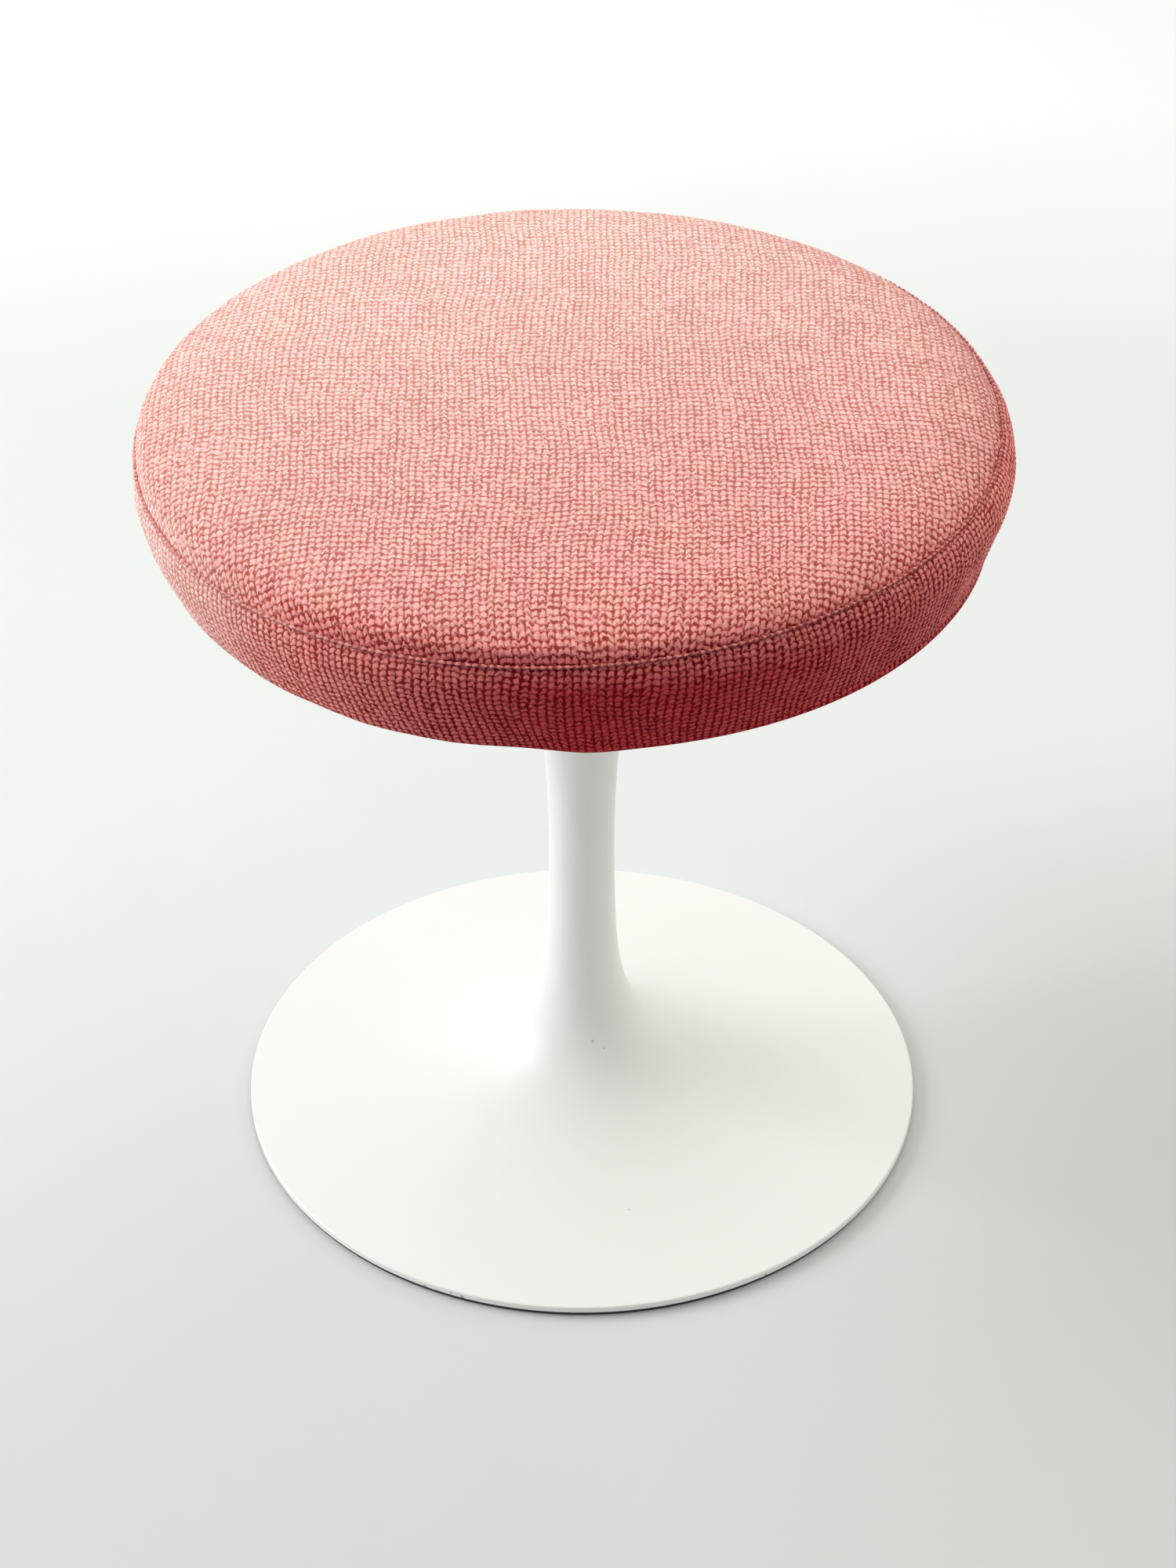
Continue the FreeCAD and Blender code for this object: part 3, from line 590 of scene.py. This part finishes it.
def top_surface(inset, rows):
    """The top panel at mm above the seam, inset mm inside its face: points, weave places and painted light."""
    azimuth = np.linspace(-math.pi, math.pi, COLUMNS, endpoint=False)
    seams = seam_s(azimuth)
    whole = LINE_END - seams
    points, places, light_paint = [], [], []
    for above in rows:
        s = seams + above * (1 + (whole / TOP_REACH - 1) * np.clip(above / TOP_EVEN, 0, 1))
        r, z, nr, nz = on_line(s)
        flat = LINE_END - s
        x, y = bend_top(flat * np.sin(azimuth), -flat * np.cos(azimuth))
        push = top_push(azimuth, above) - inset
        if not inset:
            push += nub_relief(x, y, TOP_PITCH, 0.55) * np.clip((60 - above) / 30, 0, 1)
        points.append(turned(r + nr * push, z + nz * push, azimuth))
        places.append(np.stack([x, y, 0 * x], -1))
        # Painted shade in the crease just above the seam at the front: less painted light there
        crease_shade = 0.45 * bell(above, 5.0) * np.clip(np.cos(azimuth - 0.1), 0, 1) ** 6
        light_paint.append(painted_light_at(azimuth, r, nr, nz) * (1 - crease_shade))
    return np.concatenate(points), np.concatenate(places), np.concatenate(light_paint)


def make_top():
    last, middle_light = 178, 0.84
    outer_rows = np.concatenate([np.arange(0, 18, 1.2), np.geomspace(19.5, last, 26)])
    inner_rows = np.array([0, 2, 5, 9, 14, 22, 40, 80, 130, last])
    outer, outer_at, outer_fade = top_surface(0, outer_rows)
    inner, inner_at, inner_fade = top_surface(CLOTH_T, inner_rows)
    pole = np.array([[SEAT_SHIFT, 0, CROWN_Z], [SEAT_SHIFT, 0, CROWN_Z - CLOTH_T]]) * MM
    middle = np.array([[*bend_top(0.0, 0.0), 0.0]] * 2)
    faces = skin(len(outer_rows), len(inner_rows), COLUMNS, pole=True)
    points = np.concatenate([outer, inner, pole])
    places = np.concatenate([outer_at, inner_at, middle])
    light_paint = np.concatenate([outer_fade, inner_fade, [middle_light] * 2])
    return piece("cushion_top_panel", points, faces, top_cloth, places, light_paint)


def band_surface(inset, hem_radii, shares):
    """The side band, from its hem under the board, round the lower edge and up to the seam."""
    azimuth = np.linspace(-math.pi, math.pi, COLUMNS + 1)
    seams = seam_s(azimuth)
    points, places, light_paint = [], [], []
    for r in hem_radii:
        ruck = 0 * azimuth if inset else np.clip(waves(azimuth, 21, (14, 19, 23, 31), 0.25), -0.2, 0.35)
        points.append(turned(r + 0 * azimuth, CUSHION_BOTTOM_Z + inset + ruck, azimuth))
        x, y = bend_band(azimuth, r - CUSHION_BASE_R)
        places.append(np.stack([x, y, 0 * x], -1))
        light_paint.append(0 * azimuth)
    for share in shares:
        s = seams * share
        r, z, nr, nz = on_line(s)
        x, y = bend_band(azimuth, s)
        push = band_push(azimuth, share, s) - inset
        if not inset:
            push += nub_relief(x, y, BAND_PITCH, 0.60) * np.clip((s - 2) / 10, 0, 1)
        points.append(turned(r + nr * push, z + nz * push, azimuth))
        places.append(np.stack([x, y, 0 * x], -1))
        light_paint.append(painted_light_at(azimuth, r, nr, nz))
    return np.concatenate(points), np.concatenate(places), np.concatenate(light_paint)


def make_band():
    outer_hem, outer_shares = np.linspace(HEM_R, CUSHION_BASE_R, 12, endpoint=False), np.linspace(0, 1, 46)
    inner_hem, inner_shares = np.array([HEM_R, 158.0]), np.linspace(0, 1, 9)
    outer, outer_at, outer_fade = band_surface(0, outer_hem, outer_shares)
    inner, inner_at, inner_fade = band_surface(CLOTH_T, inner_hem, inner_shares)
    faces = skin(len(outer_hem) + len(outer_shares), len(inner_hem) + len(inner_shares), COLUMNS + 1, closed=False)
    points, places = np.concatenate([outer, inner]), np.concatenate([outer_at, inner_at])
    light_paint = np.concatenate([outer_fade, inner_fade])
    return piece("cushion_side_band", points, faces, band_cloth, places, light_paint)


def make_seam():
    """The folded edge that stands up along the seam as a thin ridge, and one loose end of thread on the right."""
    sides = 8
    azimuth = np.linspace(-math.pi, math.pi, COLUMNS, endpoint=False)
    degrees = np.degrees(azimuth)
    r, z, nr, nz = on_line(seam_s(azimuth))
    lift = -1.30 * pinch(azimuth) + waves(azimuth, 31, (9, 14, 23, 37, 52, 71), 0.42) + 0.15 * bell(degrees + 35, 30)
    bead = 1 + 0.30 * np.sin(azimuth * NUBS_ROUND) + waves(azimuth, 33, (60, 90, 130), 0.50)
    # Painted light along the ridge, which stands up into the light: paler than the band below it, most on the left
    painted_light = np.minimum(painted_light_at(azimuth, r, nr, nz) * 0.60 + 0.24 + 0.12 * bell(degrees + 40, 26), 0.70)
    points, places, light_paint = [], [], []
    for a in math.tau * np.arange(sides) / sides:
        out, up = math.cos(a) * 0.95 * bead, math.sin(a) * 0.72 * bead
        points.append(turned(r + nr * (lift + out) - nz * up, z + nz * (lift + out) + nr * up, azimuth))
        places.append(np.stack([azimuth * BAND_R, a + 0 * azimuth, 0 * azimuth], -1))
        # The ridge's underside is painted in shade, with less of the painted light
        under = math.sin(a) < -0.1
        light_paint.append(painted_light * (0.40 if under else 1.0))
    count = sides * COLUMNS
    faces = [[corner % count for corner in face] for face in grid_faces(sides + 1, COLUMNS)]

    end_points, end_faces = thread_end(math.radians(83), count)
    points = np.concatenate([*points, end_points])
    places = np.concatenate([*places, end_points / MM])
    light_paint = np.concatenate([*light_paint, np.full(len(end_points), 0.5)])
    return piece("cushion_seam_fold", points, faces + end_faces, seam_cloth, places, light_paint)


def thread_end(azimuth, first):
    """A few millimetres of thread that have worked loose, as a short curled tube. Its points count from first."""
    r, z, _, _ = on_line(seam_s(azimuth))
    steps, sides = 9, 6
    points = []
    for t in np.arange(steps) / (steps - 1):
        out = -2.4 + 5.6 * math.sin(1.5 * t)
        up = 0.4 + 2.6 * t**1.4
        around = azimuth + (1.2 * t - 1.5 * t * t) / SEAM_R
        thick = 0.32 * (1 - 0.4 * t)
        a = math.tau * np.arange(sides) / sides
        points.append(turned(r + out + thick * np.cos(a), z + up + 0 * a, around + thick * np.sin(a) / SEAM_R))
    faces = grid_faces(steps, sides, first=first)
    faces.append([first + k for k in range(sides)][::-1])
    faces.append([first + (steps - 1) * sides + k for k in range(sides)])
    return np.concatenate(points), faces


top = make_top()
band = make_band()
seam = make_seam()
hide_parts("cover_top")
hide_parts("cover_band")
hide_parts("cover_seam")


# Foam, lining and other soft pieces under the cover

def foam_material():
    made, t, shader = material("foam_cells", (0.80, 0.70, 0.42), 0.95)
    at = t.place()
    cells = t.spots(at, 900.0)
    tone = t.remap(t.noise(at, 40.0, 3.0), 0.3, 0.7)
    colour = t.mix(tone, (0.82, 0.72, 0.44, 1), (0.74, 0.62, 0.34, 1))
    # The cells' pits are painted darker: painted shade
    colour = t.mix(t.remap(cells, 0.0, 0.5, 0.4, 0.0), colour, (0.45, 0.36, 0.16, 1))
    t.finish(shader, colour, t.bump(cells, 0.6 * MM))
    return made


def make_foam():
    """The crowned pad, wrapped down round the edge of the board, as one closed form."""
    columns = 192
    azimuth = np.linspace(-math.pi, math.pi, columns, endpoint=False)
    seams = seam_s(azimuth)
    board_top, pocket_r = 344.8, 175.2
    gap = CLOTH_T + 0.15
    lowest = CUSHION_BOTTOM_Z + CLOTH_T + 0.1
    grid = [turned(pocket_r + 0 * azimuth, z + 0 * azimuth, azimuth) for z in (board_top, lowest)]
    for share in np.linspace(0.02, 1, 26):
        r, z, nr, nz = on_line(seams * share)
        push = band_push(azimuth, share, seams * share) - gap
        grid.append(turned(np.maximum(r + nr * push, pocket_r + 0.4), np.maximum(z + nz * push, lowest), azimuth))
    for above in np.concatenate([np.linspace(1.5, 20, 12), np.geomspace(24, 176, 18)]):
        r, z, nr, nz = on_line(np.minimum(seams + above, LINE_END - 4))
        push = top_push(azimuth, above) - gap
        grid.append(turned(r + nr * push, z + nz * push, azimuth))
    middle = np.array([[SEAT_SHIFT, 0, CROWN_Z - gap], [0, 0, board_top]]) * MM
    rows = len(grid)
    faces = grid_faces(rows, columns)
    for j in range(columns):
        k = (j + 1) % columns
        faces.append(((rows - 1) * columns + j, (rows - 1) * columns + k, rows * columns))
        faces.append((k, j, rows * columns + 1))
    return piece("cushion_foam", np.concatenate(grid + [middle]), faces, foam_material())


foam = make_foam()
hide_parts("foam_pad")


def lining_material():
    """Thin non-woven black lining."""
    made, t, shader = material("black_lining", (0.018, 0.018, 0.020), 0.85, Sheen_Weight=0.25)
    at = t.place()
    felt = t.noise(t.scaled(at, (1.0, 1.0, 0.2)), 900.0, 4.0, 0.7)
    dots = t.spots(at, 420.0, 0.15)
    colour = t.mix(t.remap(felt, 0.3, 0.7), (0.010, 0.010, 0.012, 1), (0.045, 0.045, 0.050, 1))
    t.finish(shader, colour, t.bump(t.add(felt, t.remap(dots, 0.1, 0.35, 0.0, 0.6)), 0.25 * MM))
    return made


def make_lining():
    """The dust cover: a disc of lining stapled round its edge, slightly slack between the staples."""
    radius, thick, droop, staples = 147.5, 0.5, 0.5, 36
    columns, rows = 288, 26
    azimuth = np.linspace(-math.pi, math.pi, columns, endpoint=False)
    slack = 0.5 - 0.5 * np.cos(staples * azimuth)
    upper, lower = [], []
    for i in range(rows):
        r = radius * (1 - i / rows)
        pucker = 0.22 * bell(radius - r, 14) * slack
        low = CUSHION_BOTTOM_Z - thick - pucker - droop * (1 - (r / radius) ** 2)
        edge = r + (0.4 * waves(azimuth, 41, (11, 17, 29), 1.0) if i == 0 else 0)
        lower.append(np.stack([edge * np.sin(azimuth), -edge * np.cos(azimuth), low], -1) * MM)
        upper.append(lower[-1] + np.array([0, 0, thick * MM]))
    middle_z = CUSHION_BOTTOM_Z - droop
    middle = np.array([[0, 0, middle_z], [0, 0, middle_z - thick]]) * MM
    points = np.concatenate(upper + lower + [middle])
    made = piece("dust_cover_lining", points, skin(rows, rows, columns, pole=True), lining_material())
    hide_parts("dust_cover")


make_lining()


def loop_material():
    made, t, shader = material("white_loop_tape", (0.74, 0.74, 0.71), 0.9, Sheen_Weight=0.5)
    at = t.place()
    loops = t.noise(at, 1600.0, 4.0, 0.75)
    # Colour follows the loops' height: painted shade in the low places between the loops
    colour = t.mix(t.remap(loops, 0.3, 0.7), (0.52, 0.52, 0.49, 1), (0.84, 0.84, 0.81, 1))
    t.finish(shader, colour, t.bump(loops, 0.8 * MM))
    return made


def make_loops():
    """Four curved pads of soft loops on the underside of the cushion, over the hooks in the shell."""
    low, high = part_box("loop_strips")
    inner_r, outer_r, bottom, top_z = 148.3, 164.3, low.z / MM, high.z / MM
    half_angle = math.radians(14)
    points, faces = [], []
    across, along = 10, 60
    for quarter in range(4):
        centre = math.radians(45 + 90 * quarter)
        start = len(points)
        for layer in range(2):
            for i in range(along):
                a = centre - half_angle + 2 * half_angle * i / (along - 1)
                for j in range(across):
                    share = j / (across - 1)
                    r = inner_r + (outer_r - inner_r) * share
                    edge = min(share, 1 - share, 2.5 * i / (along - 1), 2.5 * (1 - i / (along - 1)))
                    pile = 0.35 * (1 - min(1, edge * 5)) ** 2 + 0.06 * rng.random()
                    z = bottom + pile if layer == 0 else top_z
                    points.append((r * math.cos(a) * MM, r * math.sin(a) * MM, z * MM))
        count = along * across
        for i in range(along - 1):
            for j in range(across - 1):
                a, b = start + i * across + j, start + (i + 1) * across + j
                faces.append((a, a + 1, b + 1, b))
                faces.append((count + b, count + b + 1, count + a + 1, count + a))
        ring = [i * across for i in range(along)] + [(along - 1) * across + j for j in range(1, across)]
        ring += [i * across + across - 1 for i in range(along - 2, -1, -1)] + list(range(across - 2, 0, -1))
        for m, n in zip(ring, ring[1:] + ring[:1]):
            faces.append((start + m, start + n, start + count + n, start + count + m))
    made = piece("loop_pads", points, faces, loop_material())
    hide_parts("loop_strips")


make_loops()


# Hard materials

def dress(node, look):
    """Gives a CAD node a material."""
    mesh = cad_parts[node].data
    if not mesh.materials:
        mesh.materials.append(look)
    for i in range(len(mesh.materials)):
        mesh.materials[i] = look


# The pedestal's rim, and the height below which the foot is knocked, in metres
RIM_R, FOOT_TOP_Z = 0.1645, 0.03

# Chips that can be made out: place and size in mm
CHIPS = [(-73.0, -147.6, 3.6, 0.8), (-55.5, -155.2, 3.3, 1.2), (-61.0, -153.1, 4.2, 0.7), (85.5, -141.0, 3.6, 0.8),
         (5.2, -27.9, 50.2, 0.6), (10.5, -28.9, 46.5, 0.4), (22.1, -106.6, 12.7, 0.5)]


def enamel():
    """Warm white enamel on a casting: slight ripple, small chips and scuffs on the foot."""
    made, t, shader = material("white_enamel", (0.90, 0.90, 0.88), 0.40)
    shader.inputs["Coat Weight"].default_value = 0.15
    shader.inputs["Coat Roughness"].default_value = 0.35
    at = t.place()
    x, y, z = t.xyz(at)
    ripple = t.noise(at, 130.0, 2.0, 0.5)
    peel = t.noise(at, 900.0, 2.0, 0.5)
    age = t.remap(t.noise(at, 9.0, 4.0, 0.6), 0.35, 0.75)
    colour = t.mix(t.mul(age, 0.35), (0.91, 0.912, 0.90, 1), (0.875, 0.875, 0.85, 1))
    # Chips are scarce, and most are near the rim
    radius = t.math("SQRT", t.add(t.math("POWER", x, 2.0), t.math("POWER", y, 2.0)))
    near_rim = t.remap(radius, 0.145, RIM_R)
    size = t.remap(t.noise(at, 33.0, 2.0), 0.66, 0.80, 0.0, 0.05)
    size = t.mul(size, t.add(0.35, near_rim))
    size = t.mul(size, t.math("LESS_THAN", z, FOOT_TOP_Z))
    chip = t.math("LESS_THAN", t.spots(at, 105.0), size)
    for *place, across in CHIPS:
        away = t.node("ShaderNodeVectorMath", operation="DISTANCE")
        t.feed(away.inputs[0], at)
        away.inputs[1].default_value = [v * MM for v in place]
        edge = t.mul(t.noise(at, 1500.0, 2.0, 0.6), 2.0 * across * MM)
        chip = t.math("MAXIMUM", chip, t.math("LESS_THAN", away.outputs["Value"], edge))
    colour = t.mix(t.mul(chip, 0.70), colour, (0.38, 0.35, 0.30, 1))
    scratch = t.noise(t.scaled(at, (60.0, 900.0, 60.0)), 1.0, 3.0, 0.6)
    wear_and_shade = t.mul(t.remap(scratch, 0.70, 0.80), t.remap(t.noise(at, 18.0, 2.0), 0.55, 0.70))
    colour = t.mix(t.mul(wear_and_shade, 0.22), colour, (0.60, 0.59, 0.55, 1))
    rough = t.add(t.remap(age, 0.0, 1.0, 0.38, 0.47), t.mul(wear_and_shade, 0.2))
    fine = t.bump(peel, 0.02 * MM, 0.35)
    slow = t.bump(ripple, 0.12 * MM, 0.5, fine)
    t.finish(shader, colour, t.bump(t.mul(chip, -1.0), 0.12 * MM, 0.6, slow), rough)
    return made


def moulding(name, colour, rough, grain=1300.0):
    """Moulded plastic or rubber with a fine mould grain and flow marks."""
    made, t, shader = material(name, colour, rough)
    at = t.place()
    flow = t.remap(t.noise(at, 14.0, 3.0, 0.6), 0.3, 0.7)
    darker = tuple(c * 0.9 for c in colour)
    uneven = t.remap(t.noise(at, grain / 4, 2.0), 0.3, 0.7, rough * 0.85, rough * 1.15)
    t.finish(shader, t.mix(flow, (*colour, 1), (*darker, 1)), t.bump(t.noise(at, grain, 2.0), 0.04 * MM, 0.5), uneven)
    return made


def metal(name, colour, rough, stretch=(1.0, 1.0, 14.0), scale=700.0):
    """Turned or cast metal: tool marks or sand grain and a little tarnish."""
    made, t, shader = material(name, colour, rough, metallic=1.0)
    at = t.place()
    marks = t.noise(t.scaled(at, stretch), scale, 3.0, 0.6)
    tarnish = t.remap(t.noise(at, 60.0, 3.0, 0.6), 0.4, 0.75)
    darker = tuple(c * 0.72 for c in colour)
    uneven = t.remap(marks, 0.3, 0.7, rough * 0.75, rough * 1.3)
    t.finish(shader, t.mix(t.mul(tarnish, 0.6), (*colour, 1), (*darker, 1)), t.bump(marks, 0.05 * MM, 0.6), uneven)
    return made


def plywood():
    """Birch plywood: long grain on the faces and thin layers on the edge."""
    two_layers = 0.0029
    made, t, shader = material("birch_plywood", (0.62, 0.44, 0.26), 0.65)
    at = t.place()
    _, _, z = t.xyz(at)
    grain = t.noise(t.scaled(at, (6.0, 90.0, 90.0)), 3.0, 4.0, 0.6)
    layer = t.remap(t.math("FRACT", t.mul(z, 1 / two_layers)), 0.45, 0.55)
    colour = t.mix(t.remap(grain, 0.3, 0.7), (0.68, 0.50, 0.31, 1), (0.50, 0.34, 0.19, 1))
    colour = t.mix(t.mul(layer, 0.25), colour, (0.36, 0.22, 0.11, 1))
    t.finish(shader, colour, t.bump(grain, 0.15 * MM, 0.5))
    return made


acetal_look = moulding("acetal", (0.80, 0.79, 0.73), 0.42)
zinc_look = metal("zinc_steel", (0.64, 0.65, 0.66), 0.34, (1.0, 1.0, 1.0), 900.0)
LOOKS = {
    "pedestal": enamel(),
    "glide_ring": moulding("black_vinyl", (0.028, 0.028, 0.028), 0.55),
    "upper_bush": acetal_look,
    "lower_bush": acetal_look,
    "thrust_washer": acetal_look,
    "swivel_spindle": metal("turned_steel", (0.60, 0.60, 0.61), 0.22, (1.0, 1.0, 30.0), 500.0),
    "keeper_washer": zinc_look,
    "lock_washer": zinc_look,
    "retaining_screw": metal("black_steel", (0.07, 0.07, 0.075), 0.42, (1.0, 1.0, 1.0), 1100.0),
    "swivel_plate": metal("cast_aluminium", (0.66, 0.66, 0.67), 0.48, (1.0, 1.0, 1.0), 600.0),
    "hub_pin": zinc_look,
    "plate_screws": zinc_look,
    "shell_inserts": metal("brass_insert", (0.70, 0.50, 0.22), 0.30),
    "seat_shell": moulding("white_moulding", (0.86, 0.86, 0.835), 0.28),
    "hook_strips": moulding("white_hook_tape", (0.78, 0.78, 0.75), 0.55, 2400.0),
    "seat_board": plywood(),
    "cover_staples": metal("staple_wire", (0.56, 0.56, 0.56), 0.35),
}
for node, look in LOOKS.items():
    dress(node, look)


# Floor, light and camera

def floor_material():
    """Pale floor with painted light, paler away from the camera and nearly white behind, and the seat's painted shadow
    on its right.
    """
    made, t, shader = material("pale_floor", (0.80, 0.83, 0.82), 0.55)
    shader.inputs["Specular IOR Level"].default_value = 0.15
    at = t.place()
    x, y, _ = t.xyz(at)
    # Painted light: darker towards the camera, paler away from it
    colour = t.mix(t.remap(y, -0.60, 0.20, smooth=True), (0.608, 0.624, 0.616, 1), (0.785, 0.820, 0.822, 1))
    colour = t.mix(t.remap(y, 0.60, 1.15, smooth=True), colour, (0.945, 0.962, 0.965, 1))
    wear_and_shade = t.remap(t.noise(t.scaled(at, (1.0, 0.5, 1.0)), 4.0, 5.0, 0.65), 0.35, 0.75, 0.985, 1.01)
    colour = t.toned(colour, wear_and_shade)
    # The seat's painted shadow greys the floor to the right of the stool
    seat_shadow = t.mul(t.remap(x, 0.02, 0.30, smooth=True), t.remap(y, 0.0, 0.35, 1.0, 0.0, smooth=True))
    seat_shadow = t.mul(seat_shadow, t.remap(y, -0.40, -0.10, 0.3, 1.0, smooth=True))
    t.finish(shader, t.mix(t.mul(seat_shadow, 0.5), colour, (0.50, 0.50, 0.465, 1)))
    return made


def make_floor():
    size, drop = 6.0, 0.00005  # a hair lower than the face that the stool stands on
    mesh = bpy.data.meshes.new("floor")
    mesh.from_pydata([(-size, -size, 0), (size, -size, 0), (size, size, 0), (-size, size, 0)], [], [(0, 1, 2, 3)])
    mesh.materials.append(floor_material())
    made = bpy.data.objects.new("floor", mesh)
    made.location.z = -drop
    bpy.context.scene.collection.objects.link(made)


def lamp(name, at, target, size, power, colour):
    data = bpy.data.lights.new(name, "AREA")
    data.shape = "RECTANGLE"
    data.size, data.size_y = size
    data.energy = power
    data.color = colour
    made = bpy.data.objects.new(name, data)
    made.location = at
    made.rotation_euler = (Vector(target) - Vector(at)).to_track_quat("-Z", "Y").to_euler()
    bpy.context.scene.collection.objects.link(made)


def make_world():
    """Soft daylight, weaker from the front, and plain white behind everything the camera sees."""
    world = bpy.data.worlds.new("daylight")
    bpy.context.scene.world = world
    world.use_nodes = True
    world.node_tree.nodes.clear()
    t = Tree(world.node_tree)
    out = t.node("ShaderNodeOutputWorld")
    x, y, z = t.xyz(t.node("ShaderNodeTexCoord").outputs["Generated"])
    light = t.remap(y, -0.80, 0.65, 0.0, 0.50, smooth=True)
    light = t.add(light, t.remap(x, 0.0, 1.0, 0.0, 0.48))
    light = t.add(light, t.remap(z, 0.2, 1.0, 0.0, 0.79))
    lit = t.node("ShaderNodeBackground")
    lit.inputs["Color"].default_value = (1.0, 0.985, 0.925, 1)
    t.feed(lit.inputs["Strength"], light)
    white = t.node("ShaderNodeBackground")
    white.inputs["Color"].default_value = (0.97, 0.98, 0.975, 1)
    rays = t.node("ShaderNodeLightPath").outputs
    seen = t.math("MAXIMUM", rays["Is Glossy Ray"], rays["Is Transmission Ray"])
    seen = t.math("MAXIMUM", rays["Is Camera Ray"], seen)
    choose = t.node("ShaderNodeMixShader")
    t.feed(choose.inputs[0], seen)
    t.feed(choose.inputs[1], lit.outputs[0])
    t.feed(choose.inputs[2], white.outputs[0])
    t.feed(out.inputs[0], choose.outputs[0])


def make_camera():
    data = bpy.data.cameras.new("camera")
    data.sensor_width = 36
    data.lens = 80.08
    made = bpy.data.objects.new("camera", data)
    made.location = (0.0, -1.3168, 1.1567)
    made.rotation_euler = (math.radians(53.57), 0, math.radians(-0.13))
    bpy.context.scene.collection.objects.link(made)
    bpy.context.scene.camera = made


make_floor()
make_world()
lamp("window", (-4.3, 0.22, 2.45), (0, 0, 0.3), (3.2, 2.6), 149, (0.985, 0.995, 1.0))
make_camera()

scene = bpy.context.scene
scene.view_settings.view_transform = "Standard"
